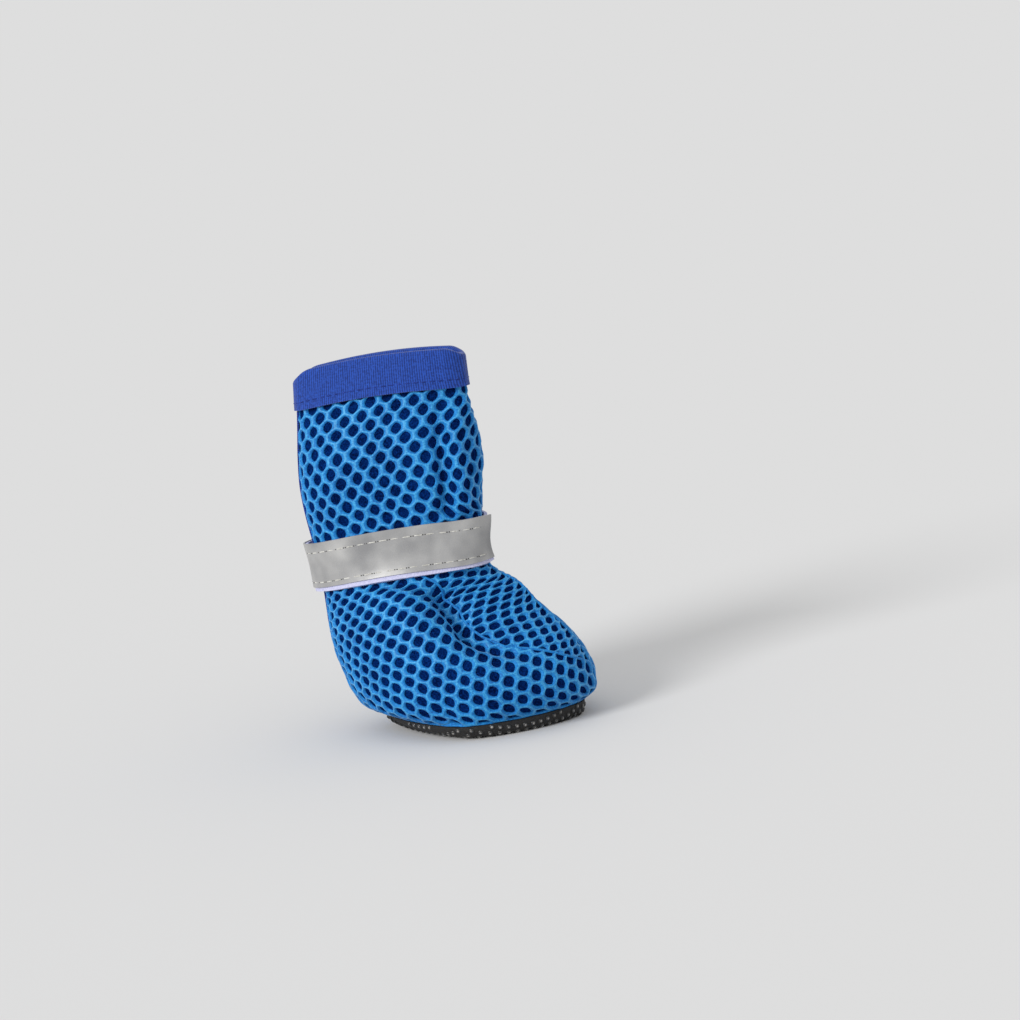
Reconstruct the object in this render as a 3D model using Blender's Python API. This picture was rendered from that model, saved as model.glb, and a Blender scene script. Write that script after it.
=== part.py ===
"""Small dog boot: a hollow mesh sock on a cupped sole, with a bound collar and a wrap strap.

+X points to the toe and +Z up. The origin is the middle of the sole, on its flat underside.
Heights above the ankle are measured on the shaft's own upright axis.
"""

import math
from collections import namedtuple

import bmesh
import bpy
import numpy as np
from mathutils import Vector

# Fit between pieces that lie against each other
FIT = 0.0003

# Sole
SOLE_LENGTH = 0.0650
SOLE_WIDTH = 0.0560
SOLE_THICKNESS = 0.0012
SOLE_RISE = 0.0045
SOLE_FLAT_SHARE = 0.84
SOLE_FLAT_FORWARD = 0.0035

# Paw pocket
FOOT_LENGTH = 0.0790
FOOT_WIDTH = 0.0626

# Ankle, shaft and collar
SHAFT_SETBACK = 0.0208
ANKLE_HEIGHT = 0.0562
ANKLE_DEPTH = 0.0548
ANKLE_WIDTH = 0.0270
SHAFT_DEPTH = 0.0600
SHAFT_WIDTH = 0.0285
COLLAR_HEIGHT = 0.1178
COLLAR_DEPTH = 0.0547
COLLAR_GAPE = 0.0070
COLLAR_BACK_ROUND = 0.0065
COLLAR_BACK_DROP = 0.0032
COLLAR_FRONT_ROUND = 0.0050
COLLAR_FRONT_DROP = 0.0022
WRAP_SLOPE = 0.060
SIDE_ARCH = 0.0015

# Cloth
WALL = 0.0014
FOLD_INSIDE_RADIUS = 0.0010

# Webbing folded over the collar
BINDING_HEIGHT = 0.0125
BINDING_THICKNESS = 0.0007

# Tape down the back seam
BACK_TAPE_WIDTH = 0.0070
BACK_TAPE_THICKNESS = 0.0006
BACK_TAPE_SIDE_SPANS = 3

# Strap and its reflective tape
STRAP_WIDTH = 0.0164
STRAP_THICKNESS = 0.0010
STRAP_BACK_SLACK = 0.0009
STRAP_END_FLARE = 0.0008
TAPE_WIDTH = 0.0148
TAPE_THICKNESS = 0.0005
TAPE_ABOVE_MIDDLE = 0.0006

# Steps round the boot and up it
STEPS_ROUND = 48
TIP_CROWDING = 0.6
FOOT_LEVELS = 11
STRAP_LEVELS = 4
SHAFT_LEVELS = 7
BINDING_LEVELS = 4
SOLE_TURN_STEPS = 5
RIM_ARC_STEPS = 4

# Height over which the wall's slope is read
SLOPE_SAMPLE = 0.0003

# Strap route in turns round the boot from the toe side: it starts on the near side's front,
# passes the front, the far side and the back, and laps over its own start
STRAP_START_TURN = -0.125
STRAP_FREE_TURN = 0.958
LAP_RAMP_TURN = 0.063
LAP_LEAD_TURN = 0.021
FLARE_TURN = 0.042
TAPE_START_TURN = 0.208
BACK_SLACK_TURN = 0.146

EDGE_HEIGHT = SOLE_RISE + FIT
MESH_TOP = COLLAR_HEIGHT - BINDING_THICKNESS - FIT
BINDING_LOW = COLLAR_HEIGHT - BINDING_HEIGHT
FOLD_RADIUS = FOLD_INSIDE_RADIUS + WALL + FIT + BINDING_THICKNESS
COLLAR_WIDTH = COLLAR_GAPE + 2 * (WALL + FIT + BINDING_THICKNESS)

# A section's height, back, front and width are shares of the sizes named with its table.
# Heel and toe are the fullness of the outline's two halves, 1 a diamond and 2 an ellipse.
Section = namedtuple("Section", "height back front width heel toe")

# Sole's edge: shares of the sole's length and width
EDGE_SECTION = Section(0.00, -0.500, 0.500, 1.000, 1.32, 1.48)

# Paw pocket: height of the way from the sole's edge to the ankle, back and front of the
# foot's length from the sole's middle, width of the foot's width
FOOT_SECTIONS = (
    Section(0.05, -0.484, 0.456, 0.965, 1.50, 1.62),
    Section(0.14, -0.530, 0.467, 1.000, 1.68, 1.82),
    Section(0.28, -0.559, 0.438, 0.978, 1.82, 1.88),
    Section(0.43, -0.585, 0.374, 0.914, 1.90, 1.66),
    Section(0.59, -0.597, 0.272, 0.800, 1.95, 1.45),
    Section(0.73, -0.600, 0.196, 0.630, 2.00, 1.40),
)

# Ankle under the strap: heights as above, the rest of the ankle's depth and width, from the
# shaft's axis
ANKLE_SECTIONS = (
    Section(0.84, -0.490, 0.515, 1.100, 2.00, 1.80),
    Section(0.91, -0.495, 0.488, 1.015, 2.00, 2.00),
    Section(1.00, -0.500, 0.478, 1.000, 2.00, 2.00),
)

# Shaft: height of the way from the ankle to the collar's top, the rest of the shaft's depth
# and width, from its axis
SHAFT_SECTIONS = (
    Section(0.13, -0.478, 0.455, 0.955, 2.10, 2.05),
    Section(0.26, -0.497, 0.468, 0.990, 2.20, 2.10),
    Section(0.40, -0.508, 0.492, 0.970, 2.20, 2.10),
    Section(0.56, -0.500, 0.486, 0.870, 2.15, 2.10),
    Section(0.70, -0.485, 0.462, 0.710, 2.10, 2.05),
    Section(0.82, -0.474, 0.447, 0.550, 2.00, 2.00),
)

# Collar's rim: shares of the collar's depth and width, from the shaft's axis
COLLAR_SECTION = Section(1.00, -0.512, 0.488, 1.000, 2.00, 2.00)

MATERIALS = {
    "upper": ((0.020, 0.225, 0.640), 0.60),
    "sole": ((0.012, 0.011, 0.011), 0.55),
    "collar_binding": ((0.030, 0.055, 0.390), 0.70),
    "back_seam_tape": ((0.025, 0.045, 0.330), 0.70),
    "strap": ((0.600, 0.600, 0.790), 0.75),
    "reflective_tape": ((0.330, 0.320, 0.310), 0.40),
}


def clear_scene():
    for thing in list(bpy.data.objects):
        bpy.data.objects.remove(thing, do_unlink=True)


def sized(section_share, base, climb, origin, depth, width):
    """A section's shares turned into lengths: height, back, front, half width, heel, toe."""
    return (base + section_share.height * climb, origin + section_share.back * depth,
            origin + section_share.front * depth, section_share.width * width / 2,
            section_share.heel, section_share.toe)


def section_rows():
    """All sections in order, from the sole's edge to the collar."""
    rise = ANKLE_HEIGHT - EDGE_HEIGHT
    climb = COLLAR_HEIGHT - ANKLE_HEIGHT
    axis = -SHAFT_SETBACK
    rows = [sized(EDGE_SECTION, EDGE_HEIGHT, rise, 0.0, SOLE_LENGTH, SOLE_WIDTH)]
    rows += [sized(row, EDGE_HEIGHT, rise, 0.0, FOOT_LENGTH, FOOT_WIDTH) for row in FOOT_SECTIONS]
    rows += [sized(row, EDGE_HEIGHT, rise, axis, ANKLE_DEPTH, ANKLE_WIDTH) for row in ANKLE_SECTIONS]
    rows += [sized(row, ANKLE_HEIGHT, climb, axis, SHAFT_DEPTH, SHAFT_WIDTH) for row in SHAFT_SECTIONS]
    rows.append(sized(COLLAR_SECTION, ANKLE_HEIGHT, climb, axis, COLLAR_DEPTH, COLLAR_WIDTH))
    return np.array(rows)


ROWS = section_rows()
ROW_HEIGHTS = ROWS[:, 0]
ROW_VALUES = ROWS[:, 1:]
ROW_SLOPES = np.gradient(ROW_VALUES, ROW_HEIGHTS, axis=0)


def section(height):
    """Outline values at a height, on a smooth curve through the rows."""
    index = int(np.clip(np.searchsorted(ROW_HEIGHTS, height) - 1, 0, len(ROWS) - 2))
    span = ROW_HEIGHTS[index + 1] - ROW_HEIGHTS[index]
    t = (height - ROW_HEIGHTS[index]) / span
    return ((2 * t**3 - 3 * t**2 + 1) * ROW_VALUES[index]
            + (t**3 - 2 * t**2 + t) * span * ROW_SLOPES[index]
            + (3 * t**2 - 2 * t**3) * ROW_VALUES[index + 1]
            + (t**3 - t**2) * span * ROW_SLOPES[index + 1])


def smooth_step(value, low, high):
    t = min(max((value - low) / (high - low), 0.0), 1.0)
    return t * t * (3 - 2 * t)


def collar_drop(x, back, front):
    """How far the rim falls at its rounded back and front corners."""
    behind = max(0.0, 1 - (x - back) / COLLAR_BACK_ROUND)
    ahead = max(0.0, 1 - (front - x) / COLLAR_FRONT_ROUND)
    return COLLAR_BACK_DROP * behind**2 + COLLAR_FRONT_DROP * ahead**2


def surface(height, angle):
    """Point of the sock's outer face, and its outward direction in plan."""
    back, front, half_width, heel, toe = section(height)
    reach = (front - back) / 2 - FOLD_RADIUS
    breadth = half_width - FOLD_RADIUS
    along, across = math.cos(angle), math.sin(angle)
    fullness = toe if along > 0 else heel
    facing = Vector((math.copysign(abs(along) ** (2 - 2 / fullness), along) / reach,
                     math.copysign(abs(across) ** (2 - 2 / fullness), across) / breadth, 0.0))
    facing.normalize()
    x = (back + front) / 2 + reach * math.copysign(abs(along) ** (2 / fullness), along)
    y = breadth * math.copysign(abs(across) ** (2 / fullness), across)
    point = Vector((x, y, height)) + FOLD_RADIUS * facing
    lifted = smooth_step(height, EDGE_HEIGHT, ANKLE_HEIGHT)
    point.z += lifted * (WRAP_SLOPE * (point.x + SHAFT_SETBACK) + SIDE_ARCH * across**2)
    point.z -= smooth_step(height, BINDING_LOW, MESH_TOP) * collar_drop(point.x, back, front)
    return point, facing


def skin(height, angle, out):
    """Point that stands off the sock's outer face by a distance, or inside it if negative."""
    point, facing = surface(height, angle)
    if height <= EDGE_HEIGHT:
        return point + out * facing
    upward = surface(height + SLOPE_SAMPLE, angle)[0] - surface(height - SLOPE_SAMPLE, angle)[0]
    around = Vector((-facing.y, facing.x, -WRAP_SLOPE * facing.y))
    normal = around.cross(upward)
    normal.normalize()
    return point + out * normal


def round_angle(step):
    """Angle of a step round the boot, with the steps closer together at the toe and heel."""
    turn = 2 * math.pi * step / STEPS_ROUND
    return turn - TIP_CROWDING * math.sin(2 * turn) / 2


def spread(low, high, count):
    return [low + (high - low) * i / count for i in range(count + 1)]


STRAP_LOW = ANKLE_HEIGHT - STRAP_WIDTH / 2
STRAP_HIGH = ANKLE_HEIGHT + STRAP_WIDTH / 2
STRAP_ZONE = spread(STRAP_LOW, STRAP_HIGH, STRAP_LEVELS)
BINDING_ZONE = spread(BINDING_LOW, MESH_TOP, BINDING_LEVELS)
FOOT_ZONE = [EDGE_HEIGHT + (STRAP_LOW - EDGE_HEIGHT) * share**1.25
             for share in spread(0.0, 1.0, FOOT_LEVELS)]
SHAFT_ZONE = spread(STRAP_HIGH, BINDING_LOW, SHAFT_LEVELS)
LEVELS = FOOT_ZONE + STRAP_ZONE[1:] + SHAFT_ZONE[1:] + BINDING_ZONE[1:]


def finish_object(name, mesh_builder):
    """Turn a filled bmesh into a named object with its own material."""
    bmesh.ops.recalc_face_normals(mesh_builder, faces=mesh_builder.faces)
    mesh = bpy.data.meshes.new(name)
    mesh_builder.to_mesh(mesh)
    mesh_builder.free()
    mesh.shade_smooth()
    mesh.set_sharp_from_angle(angle=math.radians(40))
    color, roughness = MATERIALS[name]
    material = bpy.data.materials.new(name)
    material.use_nodes = True
    shader = material.node_tree.nodes["Principled BSDF"]
    shader.inputs["Base Color"].default_value = (*color, 1.0)
    shader.inputs["Roughness"].default_value = roughness
    shader.inputs["Metallic"].default_value = 0.0
    mesh.materials.append(material)
    made = bpy.data.objects.new(name, mesh)
    bpy.context.scene.collection.objects.link(made)
    return made


def sweep(name, stations, closed):
    """Solid through matching closed outlines, one at each station along a route.

    An open route is closed at both ends, where the first half of an outline faces the other.
    """
    builder = bmesh.new()
    rings = [[builder.verts.new(point) for point in station] for station in stations]
    size = len(rings[0])
    last = len(rings) if closed else len(rings) - 1
    for i in range(last):
        here, there = rings[i], rings[(i + 1) % len(rings)]
        for j in range(size):
            k = (j + 1) % size
            builder.faces.new((here[j], here[k], there[k], there[j]))
    if not closed:
        for ring in (rings[0], rings[-1]):
            for j in range(size // 2 - 1):
                builder.faces.new((ring[j], ring[j + 1], ring[size - 2 - j], ring[size - 1 - j]))
    return finish_object(name, builder)


def band_outline(heights, angle, inner_out, outer_out):
    """Closed outline of a band at one angle: up its inner face and down its outer face."""
    inner = [skin(height, angle, inner_out) for height in heights]
    outer = [skin(height, angle, outer_out) for height in reversed(heights)]
    return inner + outer


def make_upper():
    stations = [band_outline(LEVELS, round_angle(step), -WALL, 0.0) for step in range(STEPS_ROUND)]
    return sweep("upper", stations, closed=True)


def make_collar_binding():
    """Webbing folded over the sock's top rim, with both its legs 0.3 mm off the wall."""
    outside = FIT + BINDING_THICKNESS
    middle = -WALL / 2
    half_span = WALL / 2 + outside
    stations = []
    for step in range(STEPS_ROUND):
        angle = round_angle(step)
        outline = [skin(height, angle, outside) for height in BINDING_ZONE]
        for turn in spread(0.0, math.pi, RIM_ARC_STEPS)[1:-1]:
            point = skin(MESH_TOP, angle, middle + half_span * math.cos(turn))
            outline.append(point + Vector((0, 0, outside * math.sin(turn))))
        outline += [skin(height, angle, -WALL - outside) for height in reversed(BINDING_ZONE)]
        outline += [skin(height, angle, -WALL - FIT) for height in BINDING_ZONE[:-1]]
        for out in (-WALL - FIT, FIT):
            outline.append(skin(MESH_TOP, angle, out) + Vector((0, 0, FIT)))
        outline += [skin(height, angle, FIT) for height in reversed(BINDING_ZONE[:-1])]
        stations.append(outline)
    return sweep("collar_binding", stations, closed=True)


def make_sole():
    """Shallow cup of grip fabric: flat underneath, with its edge turned up to the sock."""
    inradius = SOLE_LENGTH * SOLE_WIDTH / (2 * math.hypot(SOLE_LENGTH, SOLE_WIDTH))
    inset_share = SOLE_THICKNESS / inradius
    outline = [surface(EDGE_HEIGHT, round_angle(step))[0] for step in range(STEPS_ROUND)]
    turns = spread(0.0, math.pi / 2, SOLE_TURN_STEPS)

    def ring(turn, edge_share, flat_share, floor):
        reach = math.sin(turn)
        points = []
        for point in outline:
            share = flat_share + (edge_share - flat_share) * reach
            forward = SOLE_FLAT_FORWARD * (1 - reach)
            height = floor + (SOLE_RISE - floor) * (1 - math.cos(turn))
            points.append(Vector((share * point.x + forward, share * point.y, height)))
        return points

    outer = [ring(turn, 1.0, SOLE_FLAT_SHARE, 0.0) for turn in turns]
    inner = [ring(turn, 1.0 - inset_share, SOLE_FLAT_SHARE - inset_share / 2, SOLE_THICKNESS)
             for turn in reversed(turns)]
    builder = bmesh.new()
    rings = [[builder.verts.new(point) for point in points] for points in outer + inner]
    for here, there in zip(rings, rings[1:]):
        for j in range(STEPS_ROUND):
            k = (j + 1) % STEPS_ROUND
            builder.faces.new((here[j], here[k], there[k], there[j]))
    builder.faces.new(rings[0])
    builder.faces.new(rings[-1])
    return finish_object("sole", builder)


def back_angle(height, side):
    """Angle near the heel where the sock's face lies a given distance from its middle line."""
    low, high = math.pi / 2, math.pi
    for _ in range(30):
        middle = (low + high) / 2
        if surface(height, middle)[0].y > abs(side):
            low = middle
        else:
            high = middle
    return high if side >= 0 else 2 * math.pi - high


def make_back_seam_tape():
    """Narrow webbing that covers the back seam from the sole's edge to the collar's binding."""
    heights = [height for height in LEVELS if EDGE_HEIGHT < height < BINDING_LOW]
    heights.append(BINDING_LOW - FIT)
    sides = [BACK_TAPE_WIDTH * i / (2 * BACK_TAPE_SIDE_SPANS)
             for i in range(-BACK_TAPE_SIDE_SPANS, BACK_TAPE_SIDE_SPANS + 1)]
    stations = []
    for height in heights:
        angles = [back_angle(height, side) for side in sides]
        inner = [skin(height, angle, FIT) for angle in angles]
        outer = [skin(height, angle, FIT + BACK_TAPE_THICKNESS) for angle in reversed(angles)]
        stations.append(inner + outer)
    return sweep("back_seam_tape", stations, closed=False)


def strap_stand_off(turn):
    """How far the strap's inner face stands off the sock at a turn along its route."""
    lap_at = 1 + STRAP_START_TURN - LAP_LEAD_TURN
    lap = smooth_step(turn, lap_at - LAP_RAMP_TURN, lap_at)
    fold = 1 - smooth_step(abs(turn - 0.5), 0.0, BACK_SLACK_TURN)
    flare = smooth_step(turn, STRAP_FREE_TURN - FLARE_TURN, STRAP_FREE_TURN)
    return (FIT + lap * (STRAP_THICKNESS + FIT)
            + fold * (BACK_TAPE_THICKNESS + FIT + STRAP_BACK_SLACK) + flare * STRAP_END_FLARE)


def wrap(name, start_turn, heights, lift, thickness):
    """Band along the strap's route, from a turn to the free end, lifted off the route's face."""
    stations = []
    for step in range(round(start_turn * STEPS_ROUND), round(STRAP_FREE_TURN * STEPS_ROUND) + 1):
        out = strap_stand_off(step / STEPS_ROUND) + lift
        stations.append(band_outline(heights, round_angle(step), out, out + thickness))
    return sweep(name, stations, closed=False)


def make_strap():
    return wrap("strap", STRAP_START_TURN, STRAP_ZONE, 0.0, STRAP_THICKNESS)


def make_reflective_tape():
    """Tape on the strap's outer face, from the far side round the back to the free end."""
    middle = ANKLE_HEIGHT + TAPE_ABOVE_MIDDLE
    heights = [middle - TAPE_WIDTH / 2, *STRAP_ZONE[1:-1], middle + TAPE_WIDTH / 2]
    return wrap("reflective_tape", TAPE_START_TURN, heights, STRAP_THICKNESS + FIT, TAPE_THICKNESS)


def main():
    clear_scene()
    make_sole()
    make_upper()
    make_collar_binding()
    make_back_seam_tape()
    make_strap()
    make_reflective_tape()


main()
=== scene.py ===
"""Looks of the dog boot: an open mesh sock, a dotted sole, bound collar and reflective strap.

Sizes are metres, in the part's own frame: +X to the toe, +Z up, the origin under the sole.
"""

import math
from collections import namedtuple

import bmesh
import bpy
import numpy as np
from mathutils import Matrix, Vector


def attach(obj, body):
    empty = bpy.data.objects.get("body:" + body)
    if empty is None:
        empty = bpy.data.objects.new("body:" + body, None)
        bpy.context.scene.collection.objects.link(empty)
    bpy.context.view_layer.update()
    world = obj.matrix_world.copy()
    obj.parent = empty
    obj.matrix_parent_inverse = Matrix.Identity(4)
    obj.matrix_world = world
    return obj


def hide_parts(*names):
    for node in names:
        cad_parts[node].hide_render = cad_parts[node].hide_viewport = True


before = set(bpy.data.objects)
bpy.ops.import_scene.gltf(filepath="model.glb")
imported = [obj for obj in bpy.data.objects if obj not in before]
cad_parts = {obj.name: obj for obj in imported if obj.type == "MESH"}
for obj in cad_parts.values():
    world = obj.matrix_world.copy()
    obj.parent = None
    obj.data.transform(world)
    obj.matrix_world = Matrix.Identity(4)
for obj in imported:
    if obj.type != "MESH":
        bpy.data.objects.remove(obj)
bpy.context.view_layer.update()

MM = 0.001

# The boot's own sizes, as the part has them
FIT = 0.3 * MM
SOLE_LENGTH = 65.0 * MM
SOLE_WIDTH = 56.0 * MM
SOLE_THICKNESS = 1.2 * MM
SOLE_RISE = 4.5 * MM
SOLE_FLAT_SHARE = 0.84
SOLE_FLAT_FORWARD = 3.5 * MM
FOOT_LENGTH = 79.0 * MM
FOOT_WIDTH = 62.6 * MM
SHAFT_SETBACK = 20.8 * MM
ANKLE_HEIGHT = 56.2 * MM
ANKLE_DEPTH = 54.8 * MM
ANKLE_WIDTH = 27.0 * MM
SHAFT_DEPTH = 60.0 * MM
SHAFT_WIDTH = 28.5 * MM
COLLAR_HEIGHT = 117.8 * MM
COLLAR_DEPTH = 54.7 * MM
COLLAR_GAPE = 7.0 * MM
COLLAR_BACK_ROUND = 6.5 * MM
COLLAR_BACK_DROP = 3.2 * MM
COLLAR_FRONT_ROUND = 5.0 * MM
COLLAR_FRONT_DROP = 2.2 * MM
WRAP_SLOPE = 0.060
SIDE_ARCH = 1.5 * MM
WALL = 1.4 * MM
FOLD_INSIDE_RADIUS = 1.0 * MM
BINDING_HEIGHT = 12.5 * MM
BINDING_THICKNESS = 0.7 * MM
BACK_TAPE_THICKNESS = 0.6 * MM
STRAP_WIDTH = 16.4 * MM
STRAP_THICKNESS = 1.0 * MM
STRAP_BACK_SLACK = 0.9 * MM
STRAP_END_FLARE = 0.8 * MM
TAPE_WIDTH = 14.8 * MM
TAPE_THICKNESS = 0.5 * MM
TAPE_ABOVE_MIDDLE = 0.6 * MM
TIP_CROWDING = 0.6
STRAP_START_TURN = -0.125
STRAP_FREE_TURN = 0.958
LAP_RAMP_TURN = 0.063
LAP_LEAD_TURN = 0.021
FLARE_TURN = 0.042
TAPE_START_TURN = 0.208
BACK_SLACK_TURN = 0.146
# How much higher the strap is drawn in front than at the ankle's middle
STRAP_TILT = 0.8 * MM

EDGE_HEIGHT = SOLE_RISE + FIT
MESH_TOP = COLLAR_HEIGHT - BINDING_THICKNESS - FIT
BINDING_LOW = COLLAR_HEIGHT - BINDING_HEIGHT
STRAP_LOW = ANKLE_HEIGHT - STRAP_WIDTH / 2
TAPE_LOW = ANKLE_HEIGHT + TAPE_ABOVE_MIDDLE - TAPE_WIDTH / 2
TAPE_HIGH = TAPE_LOW + TAPE_WIDTH
FOLD_RADIUS = FOLD_INSIDE_RADIUS + WALL + FIT + BINDING_THICKNESS
COLLAR_WIDTH = COLLAR_GAPE + 2 * (WALL + FIT + BINDING_THICKNESS)

# Sections as shares of the sizes named with each table; heel and toe are the fullness of the
# outline's halves, 1 a diamond and 2 an ellipse
Section = namedtuple("Section", "height back front width heel toe")
EDGE_SECTION = Section(0.00, -0.500, 0.500, 1.000, 1.32, 1.48)
FOOT_SECTIONS = (
    Section(0.05, -0.484, 0.456, 0.965, 1.50, 1.62),
    Section(0.14, -0.530, 0.467, 1.000, 1.68, 1.82),
    Section(0.28, -0.559, 0.438, 0.978, 1.82, 1.88),
    Section(0.43, -0.585, 0.374, 0.914, 1.90, 1.66),
    Section(0.59, -0.597, 0.272, 0.800, 1.95, 1.45),
    Section(0.73, -0.600, 0.196, 0.630, 2.00, 1.40),
)
ANKLE_SECTIONS = (
    Section(0.84, -0.490, 0.515, 1.100, 2.00, 1.80),
    Section(0.91, -0.495, 0.488, 1.015, 2.00, 2.00),
    Section(1.00, -0.500, 0.478, 1.000, 2.00, 2.00),
)
SHAFT_SECTIONS = (
    Section(0.13, -0.478, 0.455, 0.955, 2.10, 2.05),
    Section(0.26, -0.497, 0.468, 0.990, 2.20, 2.10),
    Section(0.40, -0.508, 0.492, 0.970, 2.20, 2.10),
    Section(0.56, -0.500, 0.486, 0.870, 2.15, 2.10),
    Section(0.70, -0.485, 0.462, 0.710, 2.10, 2.05),
    Section(0.82, -0.474, 0.447, 0.550, 2.00, 2.00),
)
COLLAR_SECTION = Section(1.00, -0.512, 0.488, 1.000, 2.00, 2.00)

# Creases of the cloth on the near side: a soft trough, or a ridge where the depth is under 0.
# The corners of its route, as seen from the side, are x, z and depth. Left and right are its
# widths as one goes along it. All are millimetres.
Crease = namedtuple("Crease", "route left right")
CREASES = (
    # Upright trough of the shaft, and the rounded facet in front of it
    Crease(((-1.0, 106.0, 0.6), (-1.9, 92.0, 2.8), (-1.6, 74.0, 3.2), (-3.0, 64.0, 1.8)),
           2.4, 1.9),
    Crease(((3.6, 104.0, -0.8), (3.0, 88.0, -1.8), (2.8, 66.0, -1.6)), 2.6, 2.6),
    # Flat of the shaft, and the edge where it turns away to the back
    Crease(((-20.0, 100.0, 0.5), (-19.0, 66.0, 0.8)), 9.0, 9.0),
    Crease(((-38.0, 102.0, -0.5), (-37.0, 66.0, -0.8)), 3.5, 3.5),
    # Fold of the foot, from under the strap round to the side of the toe
    Crease(((-12.5, 50.5, 3.2), (-6.0, 44.5, 4.8), (-0.5, 38.5, 5.2), (2.5, 33.5, 4.6),
            (7.0, 30.5, 3.8), (13.5, 27.5, 2.6), (22.0, 25.5, 1.2), (30.0, 22.5, 0.0)),
           3.6, 2.0),
    # Hollow of the instep above it
    Crease(((-1.0, 45.0, 2.0), (4.0, 38.0, 3.2), (10.0, 33.5, 2.8), (18.0, 29.0, 1.6),
            (26.0, 25.0, 0.4)), 8.0, 6.5),
    # Fullness of the heel side and the toe's side below it
    Crease(((-27.0, 46.0, -1.2), (-16.0, 43.5, -2.2), (-9.5, 38.0, -1.8), (-5.0, 32.0, -1.4),
            (-1.0, 27.0, -1.3), (5.0, 23.0, -1.2), (14.0, 19.5, -0.8), (24.0, 17.0, 0.0)),
           3.8, 6.0),
    # Small tuck at the sole's edge
    Crease(((-3.5, 6.0, 1.2), (-5.0, 12.0, 0.6), (-7.0, 17.0, 0.0)), 2.4, 2.4),
)
# Where the creases fade: as the face turns from the near side, and under the collar and the
# strap, which is seen a little above its middle
NEAR_FADE = (0.05, 0.45)
COLLAR_FADE = (97.0 * MM, 105.0 * MM)
STRAP_SEEN_MIDDLE = ANKLE_HEIGHT + 1.4 * MM
STRAP_FADE = (STRAP_WIDTH / 2 + 0.8 * MM, STRAP_WIDTH / 2 + 4.0 * MM)

# Bottom of the foot's fold, where the net of the instep meets that of the sides, in millimetres
FOLD_SEAM = ((-16.0, 58.0), (-12.0, 50.2), (-5.8, 44.2), (-0.6, 38.2), (2.3, 33.2), (6.8, 30.2), (13.4, 27.2),
             (22.0, 25.2), (30.0, 22.2), (38.0, 17.0))

# The net: holes in slanted rows, each in a six-sided cell
CELL_LONG = 5.67 * MM
CELL_ROW = 3.79 * MM
# A hole is a rounded diamond: its least radius, and what its points and ends add to that
HOLE_RADIUS = 1.52 * MM
HOLE_POINTS = 0.40 * MM
HOLE_ENDS = 0.12 * MM
# Share by which the holes differ, and points on each side of a cell
HOLE_JITTER = 0.07
SIDE_POINTS = 3
# Cells reach past the net's borders by this share of their length, to be clamped on them
CELLS_BEYOND = 0.95
# The rows wander by slow waves: how far, the share of the lesser waves, and for each way the
# length per radian of the main wave and of the lesser one, and where the main one starts
NET_DRIFT = 0.30 * MM
LESSER_SHARE = 0.6
Wander = namedtuple("Wander", "main lesser start")
WANDER_ALONG = Wander(7.0 * MM, 5.0 * MM, 0.6)
WANDER_UP = Wander(8.0 * MM, 4.5 * MM, 2.0)
SHAFT_TILT = math.radians(8.5)
SHAFT_SHIFT = (1.0 * MM, 2.0 * MM)
FOOT_TILT = math.radians(24.0)
FOOT_SHIFT = (2.0 * MM, 0.6 * MM)
# The instep's net lies turned, and drawn together up its slope
INSTEP_TILT = math.radians(47.0)
INSTEP_SQUASH = 0.60
NET_SEED = 7

# Across a strand: share of the way from the cell's border to the hole's edge, depth under
# the outer face, material, and share of the hole's size. The materials are 0 crown, lighter as
# painted highlight, 1 flank and 2 recess, darker as painted shade, and 3 the thin dark backing
# that closes each hole, partly the net's navy base and partly painted shade of the sock's inside.
StrandRow = namedtuple("StrandRow", "reach depth material hole", defaults=(1.0,))
STRAND_ROWS = (
    StrandRow(0.00, 0.00 * MM, 0),
    StrandRow(0.34, 0.06 * MM, 1),
    StrandRow(0.66, 0.22 * MM, 1),
    StrandRow(0.88, 0.46 * MM, 1),
    StrandRow(1.00, 0.72 * MM, 2),
    StrandRow(0.94, 0.88 * MM, 3),
    StrandRow(1.00, 0.95 * MM, 3, 0.02),
    StrandRow(0.94, 1.02 * MM, 2),
    StrandRow(0.70, 1.30 * MM, 1),
    StrandRow(0.00, 1.40 * MM, 1),
)
# Corners nearer than these are joined, edges over these angles are sharp, and faces under this
# area, in square metres, are collapsed ones
NET_MERGE = 0.02 * MM
SOLE_MERGE = 0.001 * MM
SMALL_MERGE = 0.0001 * MM
NET_SHARP_ANGLE = 75.0
SHARP_ANGLE = 60.0
COLLAPSED_AREA = 1e-10

# Sides of cords, hem and the needle holes' dark discs of painted shade
ROUND_SIDES = 8

# Cords where nets meet: their radius, and the shares of it that they lie under the face
CORD_RADIUS = 0.45 * MM
TOE_CORD_SUNK = 0.8
FOLD_CORD_SUNK = 0.9

# The net's hem: its stations, its radius, its middle's place inside and above the edge, and
# its lumps, each with its share, its count round the sole and its start
HEM_STATIONS = 240
HEM_RADIUS = 0.50 * MM
HEM_INSIDE = 0.45 * MM
HEM_ABOVE = 0.30 * MM
HEM_LUMPS = ((0.10, 31, 0.0), (0.07, 17, 1.0))

# Bands: points across one, how its cloth swells and ripples, and its stations in a turn
BAND_POINTS = 9
COLLAR_SWELL = 0.10 * MM
RIPPLE = 0.05 * MM
COLLAR_RIPPLES = 23
COLLAR_STATIONS = 160
STRAP_RIPPLES = 21
RIPPLE_SLANT = 5.0
STRAP_STATIONS = 200
# How much lower the strap's top edge is at its start, over what turn that fades, and how far
# the tape stands over that edge and off the strap's face
STRAP_TRIM = 1.4 * MM
TRIM_TURN = 0.30
TAPE_OVERHANG = 0.3 * MM
TAPE_GAP = 0.05 * MM
# The back tape's width that shows, how deep it beds into the open net, and its lower end
BACK_TAPE_SHOWN = 4.4 * MM
BACK_TAPE_SUNK = 0.30 * MM
BACK_TAPE_ABOVE_EDGE = 1.0 * MM

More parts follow.
